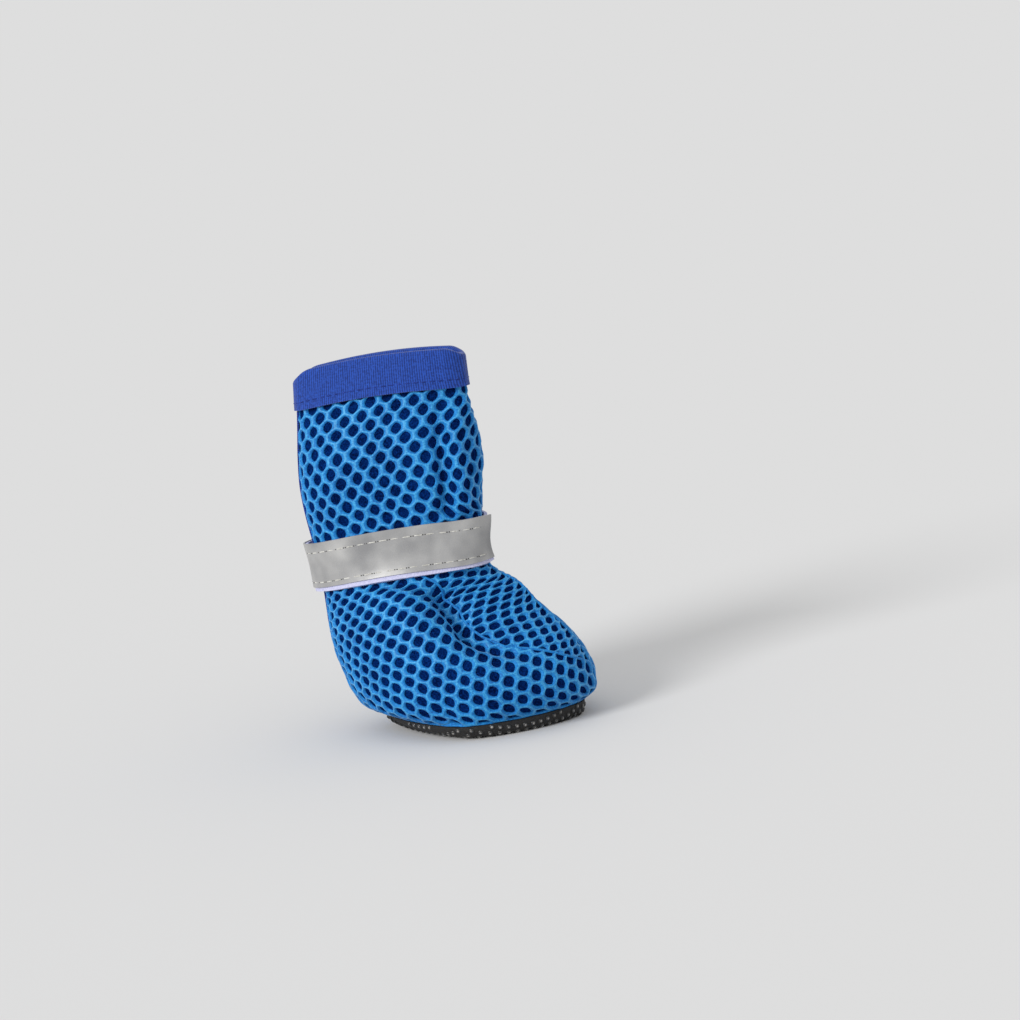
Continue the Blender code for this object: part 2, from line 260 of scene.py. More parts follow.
# The sole: the height of its inner face, and its inner rings as shares of its flat part
SOLE_INSIDE = SOLE_THICKNESS + 0.1 * MM
SOLE_POINTS = 144
SOLE_RINGS = (0.01, 0.33, 0.66)
# Its dots: their spacing along a row, the rows' distance, and each dot's profile from base to
# top, as shares of its radius and height
DOT_SPACING = 4.4 * MM
DOT_ROW = 1.7 * MM
DOT_RADIUS = 0.80 * MM
DOT_HEIGHT = 0.35 * MM
DOT_PROFILE = ((1.0, -0.10), (0.90, 0.50), (0.70, 0.80), (0.46, 0.96))
DOT_SIDES = 10
# Width of the turned-up edge, laid flat, as a share of the sole's outline, and the last turn
# of it, in radians, that has dots
TURN_SHARE = 0.25
LAST_DOT_TURN = 1.42

# Stitches: a thread's thickness, the rows' places, the pitch and the share of it that a stitch
# spans. The bow, the dive and the end's girth are shares of the thickness.
TAPE_THREAD = 0.32 * MM
TAPE_STITCH_PITCH = 3.8 * MM
TAPE_STITCH_SHARE = 0.80
TAPE_STITCH_START = TAPE_START_TURN + 0.01
TOP_ROW_BELOW_EDGE = 3.1 * MM
LOW_ROW_ABOVE_EDGE = 1.7 * MM
COLLAR_THREAD = 0.34 * MM
COLLAR_STITCH_PITCH = 2.6 * MM
COLLAR_STITCH_SHARE = 0.75
COLLAR_ROW_ABOVE_EDGE = 2.6 * MM
COLLAR_THREAD_LIFT = 0.12 * MM
FIRST_STITCH = 0.3
STITCH_BOW = 0.55
STITCH_DIVE = 0.35
STITCH_END_GIRTH = 0.55
STITCH_FLATNESS = 1.25
STITCH_SIDES = 6
STITCH_SPANS = 6
NEEDLE_LONG = 0.24 * MM
NEEDLE_WIDE = 0.192 * MM
NEEDLE_LIFT = 0.03 * MM

# Camera, from the photograph's outline: 1020 pixels a side
PHOTO_SIDE = 1020
CAMERA_AZIMUTH = math.radians(14.0)
CAMERA_ELEVATION = math.radians(9.0)
CAMERA_ROLL = math.radians(6.5)
PIXELS_PER_METRE = 3150.0
CAMERA_DISTANCE = 0.90
SOLE_MIDDLE_PIXEL = (484.5, 705.5)
SENSOR = 36.0

# Light: the floor's grey is set so that, lit, it equals the backdrop's
BACKDROP_GREY = 0.73
SUN_STRENGTH = 2.15
SUN_ANGLE = math.radians(22.0)
SUN_FROM = (-0.50, -0.78, 0.46)
SUN_RISE = SUN_FROM[2] / math.sqrt(sum(part**2 for part in SUN_FROM))
FLOOR_GREY = BACKDROP_GREY / (BACKDROP_GREY + SUN_STRENGTH * SUN_RISE / math.pi)
FLOOR_REACH = 60.0


def section_rows():
    """Outline values of all sections in metres: height, back, front, half width, heel, toe."""
    rise = ANKLE_HEIGHT - EDGE_HEIGHT
    climb = COLLAR_HEIGHT - ANKLE_HEIGHT

    def sized(row, base, up, origin, depth, width):
        return (base + row.height * up, origin + row.back * depth, origin + row.front * depth,
                row.width * width / 2, row.heel, row.toe)

    axis = -SHAFT_SETBACK
    rows = [sized(EDGE_SECTION, EDGE_HEIGHT, rise, 0.0, SOLE_LENGTH, SOLE_WIDTH)]
    rows += [sized(row, EDGE_HEIGHT, rise, 0.0, FOOT_LENGTH, FOOT_WIDTH) for row in FOOT_SECTIONS]
    rows += [sized(row, EDGE_HEIGHT, rise, axis, ANKLE_DEPTH, ANKLE_WIDTH) for row in ANKLE_SECTIONS]
    rows += [sized(row, ANKLE_HEIGHT, climb, axis, SHAFT_DEPTH, SHAFT_WIDTH) for row in SHAFT_SECTIONS]
    rows.append(sized(COLLAR_SECTION, ANKLE_HEIGHT, climb, axis, COLLAR_DEPTH, COLLAR_WIDTH))
    return np.array(rows)


ROWS = section_rows()
ROW_HEIGHTS = ROWS[:, 0]
ROW_VALUES = ROWS[:, 1:]
ROW_SLOPES = np.gradient(ROW_VALUES, ROW_HEIGHTS, axis=0)


def section_values(height):
    """Outline values at each height, on smooth curves through the rows."""
    index = np.clip(np.searchsorted(ROW_HEIGHTS, height) - 1, 0, len(ROWS) - 2)
    span = (ROW_HEIGHTS[index + 1] - ROW_HEIGHTS[index])[:, None]
    t = (height - ROW_HEIGHTS[index])[:, None] / span
    values = ((2 * t**3 - 3 * t**2 + 1) * ROW_VALUES[index]
              + (t**3 - 2 * t**2 + t) * span * ROW_SLOPES[index]
              + (3 * t**2 - 2 * t**3) * ROW_VALUES[index + 1]
              + (t**3 - t**2) * span * ROW_SLOPES[index + 1])
    return values.T


def smooth(value, low, high):
    """Soft step from 0 to 1 between two values."""
    t = np.clip((value - low) / (high - low), 0.0, 1.0)
    return t * t * (3 - 2 * t)


def power(value, exponent):
    return np.sign(value) * np.abs(value) ** exponent


def surface(height, angle):
    """Points of the sock's outer face and their outward directions in plan."""
    back, front, half_width, heel, toe = section_values(height)
    reach = (front - back) / 2 - FOLD_RADIUS
    breadth = half_width - FOLD_RADIUS
    along, across = np.cos(angle), np.sin(angle)
    fullness = np.where(along > 0, toe, heel)
    facing = np.stack((power(along, 2 - 2 / fullness) / reach, power(across, 2 - 2 / fullness) / breadth,
                       np.zeros_like(height)), axis=1)
    facing /= np.linalg.norm(facing, axis=1)[:, None]
    x = (back + front) / 2 + reach * power(along, 2 / fullness)
    y = breadth * power(across, 2 / fullness)
    point = np.stack((x, y, height), axis=1) + FOLD_RADIUS * facing
    lifted = smooth(height, EDGE_HEIGHT, ANKLE_HEIGHT)
    point[:, 2] += lifted * (WRAP_SLOPE * (point[:, 0] + SHAFT_SETBACK) + SIDE_ARCH * across**2)
    behind = np.maximum(0.0, 1 - (point[:, 0] - back) / COLLAR_BACK_ROUND)
    ahead = np.maximum(0.0, 1 - (front - point[:, 0]) / COLLAR_FRONT_ROUND)
    drop = COLLAR_BACK_DROP * behind**2 + COLLAR_FRONT_DROP * ahead**2
    point[:, 2] -= smooth(height, BINDING_LOW, MESH_TOP) * drop
    return point, facing


def normals(height, angle):
    """Outward directions of the sock's face, square to it in space."""
    sample = 0.3 * MM
    _, facing = surface(height, angle)
    low = np.maximum(height - sample, EDGE_HEIGHT)
    upward = surface(height + sample, angle)[0] - surface(low, angle)[0]
    around = np.stack((-facing[:, 1], facing[:, 0], -WRAP_SLOPE * facing[:, 1]), axis=1)
    normal = np.cross(around, upward)
    return normal / np.linalg.norm(normal, axis=1)[:, None]


def follow(places, route):
    """Each place's distance from a route, the nearest point on it, if the place is on the left,
    and how far along that is, in corners.
    """
    distance = np.full(len(places), np.inf)
    nearest = np.zeros((len(places), 2))
    on_left = np.zeros(len(places), bool)
    reached = np.zeros(len(places))
    for index, (start, end) in enumerate(zip(route, route[1:])):
        run = end - start
        share = np.clip((places - start) @ run / (run @ run), 0.0, 1.0)
        point = start + share[:, None] * run
        away = places - point
        gap = np.hypot(away[:, 0], away[:, 1])
        closer = gap < distance
        distance = np.where(closer, gap, distance)
        nearest = np.where(closer[:, None], point, nearest)
        on_left = np.where(closer, run[0] * away[:, 1] - run[1] * away[:, 0] > 0, on_left)
        reached = np.where(closer, index + share, reached)
    return distance, nearest, on_left, reached


def crease_depth(point, facing):
    """How far the creases push the cloth in at each point of the near side."""
    side = point[:, (0, 2)] / MM
    depth = np.zeros(len(point))
    for crease in CREASES:
        route = np.array(crease.route)
        distance, _, on_left, reached = follow(side, route[:, :2])
        level = np.interp(reached, np.arange(len(route)), route[:, 2])
        width = np.where(on_left, crease.left, crease.right)
        depth += level * MM * np.exp(-((distance / width) ** 2))
    near = smooth(-facing[:, 1], *NEAR_FADE)
    below_collar = 1 - smooth(point[:, 2], *COLLAR_FADE)
    off_strap = smooth(np.abs(point[:, 2] - STRAP_SEEN_MIDDLE), *STRAP_FADE)
    return depth * near * below_collar * off_strap


def skin(height, angle, out):
    """Points that stand off the creased sock by a distance, or inside it if negative."""
    height, angle, out = (values.ravel() for values in np.broadcast_arrays(height, angle, out))
    point, facing = surface(height, angle)
    push = out - crease_depth(point, facing)
    return point + push[:, None] * normals(height, angle)


def round_angle(turn):
    """Angle round the sock of a turn from the toe, crowded at the tips."""
    return 2 * math.pi * turn - TIP_CROWDING * np.sin(4 * math.pi * turn) / 2


# Meshes

def link_mesh(name, points, faces, materials, face_materials=None, uvs=None):
    """A mesh piece from points and faces, with its materials."""
    mesh = bpy.data.meshes.new(name)
    mesh.from_pydata([tuple(p) for p in points], [], [tuple(f) for f in faces])
    for material in materials:
        mesh.materials.append(material)
    if face_materials is not None:
        mesh.polygons.foreach_set("material_index", np.asarray(face_materials, np.int32))
    if uvs is not None:
        layer = mesh.uv_layers.new(name="UVMap")
        loops = np.empty(len(mesh.loops), np.int32)
        mesh.loops.foreach_get("vertex_index", loops)
        layer.data.foreach_set("uv", np.asarray(uvs, np.float32)[loops].ravel())
    made = bpy.data.objects.new(name, mesh)
    bpy.context.scene.collection.objects.link(made)
    mesh.update()
    return made


def clean(piece, merge=None, sharp_angle=SHARP_ANGLE):
    """Face the surface outward, with matching corners joined first where a distance is given."""
    builder = bmesh.new()
    builder.from_mesh(piece.data)
    if merge is not None:
        bmesh.ops.remove_doubles(builder, verts=builder.verts, dist=merge)
        collapsed = [face for face in builder.faces if face.calc_area() < COLLAPSED_AREA]
        bmesh.ops.delete(builder, geom=collapsed, context="FACES")
        loose = [vert for vert in builder.verts if not vert.link_faces]
        bmesh.ops.delete(builder, geom=loose, context="VERTS")
    bmesh.ops.recalc_face_normals(builder, faces=builder.faces)
    builder.to_mesh(piece.data)
    builder.free()
    piece.data.shade_smooth()
    piece.data.set_sharp_from_angle(angle=math.radians(sharp_angle))
    return piece


def ring_faces(base, size, rings, closed=False):
    """Faces between matching rings of points, from the one whose points start at base."""
    faces = []
    for i in range(rings if closed else rings - 1):
        here = base + i * size
        there = base + (i + 1) % rings * size
        for j in range(size):
            k = (j + 1) % size
            faces.append((here + j, here + k, there + k, there + j))
    return faces


def lengths_along(points):
    """Length of the way to each of a line's points."""
    return np.concatenate(([0.0], np.cumsum(np.linalg.norm(np.diff(points, axis=0), axis=1))))


def ring_points(middle, one, other, sides=ROUND_SIDES):
    """Points of a ring round its middle, out to the ends of two arms."""
    return [middle + math.cos(a) * one + math.sin(a) * other for a in 2 * math.pi * np.arange(sides) / sides]


def sweep(name, stations, closed, material):
    """Solid through matching closed outlines, one at each station of a route.

    Its texture coordinates are millimetres along the route and round it.
    """
    stations = np.asarray(stations)
    count, size, _ = stations.shape
    faces = ring_faces(0, size, count, closed)
    if not closed:
        for base in (0, (count - 1) * size):
            for j in range(size // 2 - 1):
                faces.append((base + j, base + j + 1, base + size - 2 - j, base + size - 1 - j))
    along = lengths_along(stations.mean(1))
    outline = lengths_along(stations[count // 2])
    uvs = np.stack(np.broadcast_arrays(along[:, None], outline[None, :]), axis=2).reshape(-1, 2) / MM
    return clean(link_mesh(name, stations.reshape(-1, 3), faces, [material], uvs=uvs))


# The net

class Pattern:
    """The near half of the sock laid flat, from the back seam round to the front line.

    Across the pattern is the length round the sock from its back, set out from the back's own
    place, and up the pattern is the length up its side.
    """

    def __init__(self, low, high, levels=110, spans=180):
        self.heights = np.linspace(low, high, levels)
        angles = np.linspace(math.pi, 2 * math.pi, spans + 1)
        grid_height = np.repeat(self.heights, spans + 1)
        grid_angle = np.tile(angles, levels)
        points = skin(grid_height, grid_angle, 0.0).reshape(levels, spans + 1, 3)
        self.lengths = np.array([lengths_along(row) for row in points])
        self.reach = self.lengths[:, -1]
        shares = np.linspace(0.0, 1.0, spans + 1)
        self.angles = np.array([np.interp(shares, row / row[-1], angles) for row in self.lengths])
        self.back = points[:, 0, 0]
        self.seen = points[..., (0, 2)]
        self.up = lengths_along(points[:, spans // 2])
        self.levels = levels
        self.spans = spans

    def trace(self, route):
        """Places on the pattern of a route that is seen from the side, in millimetres."""
        places = []
        for spot in np.array(route) * MM:
            gap = np.linalg.norm(self.seen - spot, axis=2)
            level, column = np.unravel_index(np.argmin(gap), gap.shape)
            places.append((self.back[level] + self.lengths[level, column], self.up[level]))
        return np.array(places)

    def at(self, up):
        """The back's place and the half-turn's length at places up the pattern."""
        return np.interp(up, self.up, self.back), np.interp(up, self.up, self.reach)

    def place(self, flat, whole_turn):
        """Heights and angles on the sock of points of the pattern, clamped to its borders."""
        up = np.clip(flat[:, 1], 0.0, self.up[-1])
        back, reach = self.at(up)
        row = np.interp(up, self.up, np.arange(self.levels))
        share = np.clip((flat[:, 0] - back) / reach, 0.0, 2.0 if whole_turn else 1.0)
        far = share > 1.0
        share = np.where(far, 2.0 - share, share)
        low = np.clip(row.astype(int), 0, self.levels - 2)
        part = row - low
        column = share * self.spans
        left = np.clip(column.astype(int), 0, self.spans - 1)
        rest = column - left

        def read(level):
            return self.angles[level, left] * (1 - rest) + self.angles[level, left + 1] * rest

        angle = read(low) * (1 - part) + read(low + 1) * part
        height = self.heights[low] * (1 - part) + self.heights[low + 1] * part
        return height, np.where(far, 2 * math.pi - angle, angle)


def cell_border():
    """Border and hole's edge of one cell, round its middle: matching points of both."""
    half = CELL_LONG / 2
    third = CELL_ROW / 3
    corners = np.array([(0.0, 2 * third), (-half, third), (-half, -third),
                        (0.0, -2 * third), (half, -third), (half, third)])
    shares = np.arange(SIDE_POINTS)[None, :, None] / SIDE_POINTS
    following = np.roll(corners, -1, axis=0)
    border = (corners[:, None] * (1 - shares) + following[:, None] * shares).reshape(-1, 2)
    ways = border / np.linalg.norm(border, axis=1)[:, None]
    radius = HOLE_RADIUS + HOLE_POINTS * ways[:, 1] ** 8 + HOLE_ENDS * ways[:, 0] ** 2
    return border, ways * radius[:, None]


# How a net lies: the tilt of its rows, its shift, how far the rows are squashed, whether it
# goes the whole way round, whether it is mirrored to the far side, and its side of the fold's
# seam: 1 the left, -1 the right, 0 both
Lay = namedtuple("Lay", "tilt shift squash whole_turn mirrored side", defaults=(1.0, False, False, 0))


def wander(wave, main, lesser):
    """Shares of the net's drift, from slow waves of one coordinate and lesser ones of the other."""
    return np.sin(main / wave.main + wave.start) + LESSER_SHARE * np.sin(lesser / wave.lesser)


def cell_middles(pattern, lay, turn, seam):
    """Middles of all cells that a net needs, to a little past its borders."""
    # The lattice is first made with room to spare
    halves = 2 if lay.whole_turn else 1
    reach = (halves + 0.2) * pattern.reach.max()
    count = int((reach + pattern.up[-1]) / (lay.squash * CELL_ROW)) + 4
    centres = np.array([(i * CELL_LONG + (j % 2) * CELL_LONG / 2, j * CELL_ROW)
                        for j in range(-count, count) for i in range(-count, count)])
    centres = centres @ turn.T + np.array((pattern.back.min() + lay.shift[0], lay.shift[1]))
    back, length = pattern.at(np.clip(centres[:, 1], 0, pattern.up[-1]))
    margin = np.minimum.reduce((centres[:, 1], pattern.up[-1] - centres[:, 1],
                                centres[:, 0] - back, back + length * halves - centres[:, 0]))
    if lay.side:
        distance, _, on_left, _ = follow(centres, seam)
        margin = np.minimum(margin, np.where(on_left == (lay.side > 0), distance, -distance))
    return centres[margin > -CELLS_BEYOND * CELL_LONG]


def make_net(name, low, high, lay):
    """A net between two heights: strands in relief, with painted highlight on their crowns and painted shade
    down their sides, over a thin dark backing that is partly painted shade, on both faces.
    """
    pattern = Pattern(low, high)
    seam = pattern.trace(FOLD_SEAM) if lay.side else None
    cosine, sine = math.cos(lay.tilt), math.sin(lay.tilt)
    turn = np.array(((cosine, -sine), (lay.squash * sine, lay.squash * cosine)))
    centres = cell_middles(pattern, lay, turn, seam)
    random = np.random.default_rng(NET_SEED)
    size = random.uniform(1 - HOLE_JITTER, 1 + HOLE_JITTER, (len(centres), 1, 2))
    border, rim = cell_border()
    edges = border @ turn.T
    rims = (rim[None] * size) @ turn.T
    bands = [edges[None] + (rims * row.hole - edges[None]) * row.reach for row in STRAND_ROWS]
    flat = np.stack(bands, axis=1) + centres[:, None, None, :]
    shape = flat.shape[:3]
    flat = flat.reshape(-1, 2)
    along, up = flat.T
    drift = np.stack((wander(WANDER_ALONG, up, along), wander(WANDER_UP, along, up)), axis=1)
    flat = flat + NET_DRIFT * drift
    if lay.side:
        _, nearest, on_left, _ = follow(flat, seam)
        flat = np.where((on_left == (lay.side > 0))[:, None], flat, nearest)
    height, angle = pattern.place(flat, lay.whole_turn)
    if lay.mirrored:
        angle = 2 * math.pi - angle
    depth = np.array([row.depth for row in STRAND_ROWS])
    points = skin(height, angle, -np.broadcast_to(depth[None, :, None], shape).ravel())
    index = np.arange(len(points)).reshape(shape)
    following = np.roll(index, -1, axis=2)
    faces = np.stack((index[:, :-1], following[:, :-1], following[:, 1:], index[:, 1:]), axis=-1)
    kinds = np.array([row.material for row in STRAND_ROWS[:-1]])
    face_kinds = np.broadcast_to(kinds[None, :, None], faces.shape[:3]).ravel()
    materials = (CROWN_HIGHLIGHT, FLANK_SHADE, RECESS_SHADE, BACKING_NAVY_SHADE)
    piece = link_mesh(name, points, faces.reshape(-1, 4), materials, face_materials=face_kinds)
    finish_piece(clean(piece, NET_MERGE, NET_SHARP_ANGLE), "mesh_blue", "upper")


# Materials

def set_inputs(node, **values):
    for key, value in values.items():
        node.inputs[key.replace("_", " ")].default_value = value


def new_material(name, color, roughness):
    """A material with its node tree and its shader."""
    material = bpy.data.materials.new(name)
    material.use_nodes = True
    tree = material.node_tree
    shader = tree.nodes["Principled BSDF"]
    set_inputs(shader, Base_Color=(*color, 1.0), Roughness=roughness)
    return material, tree, shader


def noise(tree, scale):
    """Noise in the object's own space, its scale per metre."""
    where = tree.nodes.new("ShaderNodeTexCoord")
    texture = tree.nodes.new("ShaderNodeTexNoise")
    set_inputs(texture, Scale=scale, Detail=2.0, Roughness=0.55)
    tree.links.new(where.outputs["Object"], texture.inputs["Vector"])
    return texture.outputs["Fac"]


def reckon(tree, operation, *values):
    """Result of a math node, each value a number or another node's output."""
    node = tree.nodes.new("ShaderNodeMath")
    node.operation = operation
    for place, value in zip(node.inputs, values):
        if isinstance(value, float):
            place.default_value = value
        else:
            tree.links.new(value, place)
    return node.outputs[0]


def color_by(tree, shader, source, stops):
    """Colour the shader by a value, from stops of place and colour."""
    node = tree.nodes.new("ShaderNodeValToRGB")
    band = node.color_ramp
    while len(band.elements) < len(stops):
        band.elements.new(0.5)
    for element, (place, color) in zip(band.elements, stops):
        element.position = place
        element.color = (*color, 1.0)
    tree.links.new(source, node.inputs["Fac"])
    tree.links.new(node.outputs["Color"], shader.inputs["Base Color"])


def bump(tree, shader, source, strength, distance, below=None):
    """Relief of the shader from a value, on top of another relief if one is below."""
    node = tree.nodes.new("ShaderNodeBump")
    set_inputs(node, Strength=strength, Distance=distance)
    tree.links.new(source, node.inputs["Height"])
    if below is not None:
        tree.links.new(below.outputs["Normal"], node.inputs["Normal"])
    tree.links.new(node.outputs["Normal"], shader.inputs["Normal"])
    return node


def yarn(name, dark, middle, light, roughness, sheen, gloss):
    """Knitted yarn: fine loops as bump, their tops lighter as painted highlight and their hollows darker as
    painted shade, over broader patches of uneven tone.
    """
    material, tree, shader = new_material(name, middle, roughness)
    loops = noise(tree, 1900.0)
    mixed = reckon(tree, "MULTIPLY_ADD", noise(tree, 120.0), 0.35, loops)
    color_by(tree, shader, mixed, ((0.48, dark), (0.66, middle), (0.86, light)))
    set_inputs(shader, Sheen_Weight=sheen, Sheen_Roughness=0.4, Specular_IOR_Level=gloss)
    bump(tree, shader, loops, 0.7, 0.12 * MM)
    return material


def webbing(name, dark, light, rib_pitch):
    """Ribbed woven webbing: ribs across the band, their pitch in millimetres, and a fine weave. Its colour
    follows the same relief, darker in the hollows as painted shade and lighter on the tops as painted
    highlight, with uneven tone.
    """
    material, tree, shader = new_material(name, light, 0.80)
    where = tree.nodes.new("ShaderNodeUVMap")
    where.uv_map = "UVMap"
    split = tree.nodes.new("ShaderNodeSeparateXYZ")
    tree.links.new(where.outputs["UV"], split.inputs["Vector"])

    def wave(source, pitch):
        return reckon(tree, "SINE", reckon(tree, "MULTIPLY", source, 2 * math.pi / pitch))

    ribs = wave(split.outputs["X"], rib_pitch)
    threads = wave(split.outputs["Y"], rib_pitch * 0.8)
    weave = reckon(tree, "MULTIPLY_ADD", threads, 0.15, ribs)
    mixed = reckon(tree, "MULTIPLY_ADD", weave, 0.20, noise(tree, 1500.0))
    color_by(tree, shader, mixed, ((0.34, dark), (0.66, light)))
    set_inputs(shader, Sheen_Weight=0.25, Sheen_Roughness=0.4, Specular_IOR_Level=0.3)
    bump(tree, shader, mixed, 0.8, 0.14 * MM)
    return material


def tape_finish():
    """Reflective tape: satin grey with a faint bead sparkle and soft creases. The sparkle is painted into the
    colour as light bead speckles, and broad lighter and darker blotches are painted crease shading; beads and
    soft creases are also in the bump.
    """
    material, tree, shader = new_material("reflective_grey", (0.36, 0.35, 0.33), 0.38)
    beads = noise(tree, 5000.0)
    mixed = reckon(tree, "MULTIPLY_ADD", beads, 0.3, noise(tree, 75.0))
    color_by(tree, shader, mixed, ((0.44, (0.235, 0.235, 0.240)), (0.86, (0.460, 0.455, 0.445))))
    set_inputs(shader, Metallic=0.15, Specular_IOR_Level=0.5)
    fine = bump(tree, shader, beads, 0.25, 0.05 * MM)
    bump(tree, shader, noise(tree, 260.0), 0.35, 0.25 * MM, below=fine)
    return material


def grip_finish():
    """Black woven sole cloth under the dots, darker in the weave's hollows as painted shade."""
    material, tree, shader = new_material("grip_cloth_black", (0.012, 0.011, 0.011), 0.75)
    weave = noise(tree, 1600.0)
    color_by(tree, shader, weave, ((0.35, (0.005, 0.005, 0.005)), (0.75, (0.022, 0.020, 0.019))))
    bump(tree, shader, weave, 0.9, 0.18 * MM)
    return material


def dot_finish(name, dark, light):
    """Rubber of the dots, with uneven tone; on the dots' tops this rubber is a light grey painted glint."""
    material, tree, shader = new_material(name, dark, 0.34)
    mottle = noise(tree, 900.0)
    color_by(tree, shader, mottle, ((0.4, dark), (0.7, light)))
    set_inputs(shader, Specular_IOR_Level=0.7)
    bump(tree, shader, mottle, 0.3, 0.05 * MM)
    return material


# Yarns have three colours, from hollow to top, then their roughness, sheen and gloss
# The strands are one azure yarn in lit and shaded copies: the crown's lighter colours are painted highlight,
# the flank's and the recess's darker ones painted shade, deepening inward.
CROWN_HIGHLIGHT = yarn("mesh_crown_painted_highlight", (0.009, 0.165, 0.430), (0.020, 0.250, 0.560), (0.052, 0.360, 0.700),
             0.50, 0.12, 0.35)
FLANK_SHADE = yarn("mesh_flank_painted_shade", (0.003, 0.100, 0.345), (0.006, 0.168, 0.490), (0.014, 0.250, 0.620),
             0.60, 0.08, 0.25)
RECESS_SHADE = yarn("mesh_recess_painted_shade", (0.002, 0.040, 0.190), (0.003, 0.062, 0.270), (0.006, 0.095, 0.360),
              0.80, 0.0, 0.05)
# The backing's dark navy closes each hole: partly the net's darker base, partly painted shade of the hollow
# sock's inside seen through the holes.
BACKING_NAVY_SHADE = yarn("mesh_backing_navy_and_shade", (0.0005, 0.004, 0.028), (0.001, 0.012, 0.078), (0.002, 0.026, 0.150),
               0.90, 0.0, 0.0)
ROYAL = webbing("webbing_royal", (0.004, 0.024, 0.165), (0.014, 0.068, 0.395), 0.72)
ROYAL_THREAD = yarn("thread_royal", (0.004, 0.014, 0.110), (0.008, 0.028, 0.190), (0.020, 0.052, 0.320),
                    0.65, 0.10, 0.2)
LILAC = webbing("strap_lilac_weave", (0.440, 0.440, 0.640), (0.600, 0.600, 0.790), 0.45)
THREAD = yarn("thread_off_white", (0.330, 0.320, 0.290), (0.500, 0.490, 0.450), (0.660, 0.650, 0.610),
              0.55, 0.1, 0.3)
# Dark grey discs for the needle holes: painted shade.
NEEDLE_HOLE_SHADE = yarn("needle_hole_shade", (0.040, 0.040, 0.038), (0.060, 0.058, 0.055), (0.090, 0.088, 0.084), 0.8, 0.0, 0.1)
TAPE = tape_finish()
GRIP = grip_finish()
DOT = dot_finish("grip_dot_rubber", (0.012, 0.012, 0.011), (0.036, 0.034, 0.032))
# The dots' tops are a light grey glint painted on the dark rubber.
DOT_GLINT = dot_finish("grip_dot_painted_glint", (0.130, 0.125, 0.115), (0.420, 0.400, 0.375))


# Pieces

def finish_piece(piece, slot_name, *nodes):
    """Put a piece on the body, in place of the nodes named; the slot's name is not used."""
    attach(piece, "root")
    if nodes:
        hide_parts(*nodes)


def make_nets():
    make_net("mesh_shaft", ANKLE_HEIGHT, MESH_TOP, Lay(SHAFT_TILT, SHAFT_SHIFT, whole_turn=True))
    near = Lay(FOOT_TILT, FOOT_SHIFT, side=-1)
    instep = Lay(INSTEP_TILT, FOOT_SHIFT, squash=INSTEP_SQUASH, side=1)
    far = Lay(FOOT_TILT, FOOT_SHIFT, mirrored=True)
    for name, lay in (("mesh_foot_near", near), ("mesh_instep_near", instep), ("mesh_foot_far", far)):
        make_net(name, EDGE_HEIGHT, ANKLE_HEIGHT, lay)


def make_cord(name, middles):
    """Thin cord of the net's own yarn along a line on the sock, coloured with the flank's painted shade."""
    stations = []
    for middle, run in zip(middles, np.gradient(middles, axis=0)):
        out = np.cross(run, (0.0, 1.0, 0.0))
        out /= np.linalg.norm(out)
        across = np.cross(out, run)
        across /= np.linalg.norm(across)
        stations.append(ring_points(middle, CORD_RADIUS * out, CORD_RADIUS * across))
    finish_piece(sweep(name, stations, False, FLANK_SHADE), "mesh_blue")


def make_seams():
    """Cords where nets meet: from the sole over the toe to the ankle, and in the foot's fold."""
    heights = np.linspace(EDGE_HEIGHT, ANKLE_HEIGHT, 90)
    make_cord("toe_seam", skin(heights, 0.0, -TOE_CORD_SUNK * CORD_RADIUS))
    pattern = Pattern(EDGE_HEIGHT, ANKLE_HEIGHT)
    corners = pattern.trace(FOLD_SEAM)
    steps = np.linspace(0, len(corners) - 1, 120)
    route = np.stack([np.interp(steps, np.arange(len(corners)), values) for values in corners.T], axis=1)
    height, angle = pattern.place(route, False)
    make_cord("fold_seam", skin(height, angle, -FOLD_CORD_SUNK * CORD_RADIUS))


def band_outline(heights, angle, inner_out, outer_out):
    """Outline of a band where it crosses an angle, up its inner face and down its outer one."""
    return np.concatenate((skin(heights, angle, inner_out), skin(heights[::-1], angle, outer_out)))


def make_binding():
    """Webbing folded over the rim, swelling a little between its stitches."""
    outside = FIT + BINDING_THICKNESS
    half_span = WALL / 2 + outside
    zone = np.linspace(BINDING_LOW, MESH_TOP, BAND_POINTS)
    swell = COLLAR_SWELL * np.sin(math.pi * np.linspace(0.1, 1.0, BAND_POINTS))
    stations = []
    for turn in np.arange(COLLAR_STATIONS) / COLLAR_STATIONS:
        angle = round_angle(turn)
        ripple = RIPPLE * math.sin(2 * math.pi * COLLAR_RIPPLES * turn)
        outline = [skin(zone, angle, outside + swell + ripple)]
        for arc in np.linspace(0, math.pi, 7)[1:-1]:
            top = skin(MESH_TOP, angle, -WALL / 2 + half_span * math.cos(arc))
            outline.append(top + np.array((0, 0, outside * math.sin(arc))))
        outline.append(skin(zone[::-1], angle, -WALL - outside))
        outline.append(skin(zone[:-1], angle, -WALL - FIT))
        for out in (-WALL - FIT, FIT):
            outline.append(skin(MESH_TOP, angle, out) + np.array((0, 0, FIT)))
        outline.append(skin(zone[:-1][::-1], angle, FIT))
        stations.append(np.concatenate(outline))
    finish_piece(sweep("collar_webbing", stations, True, ROYAL), "webbing_royal", "collar_binding")


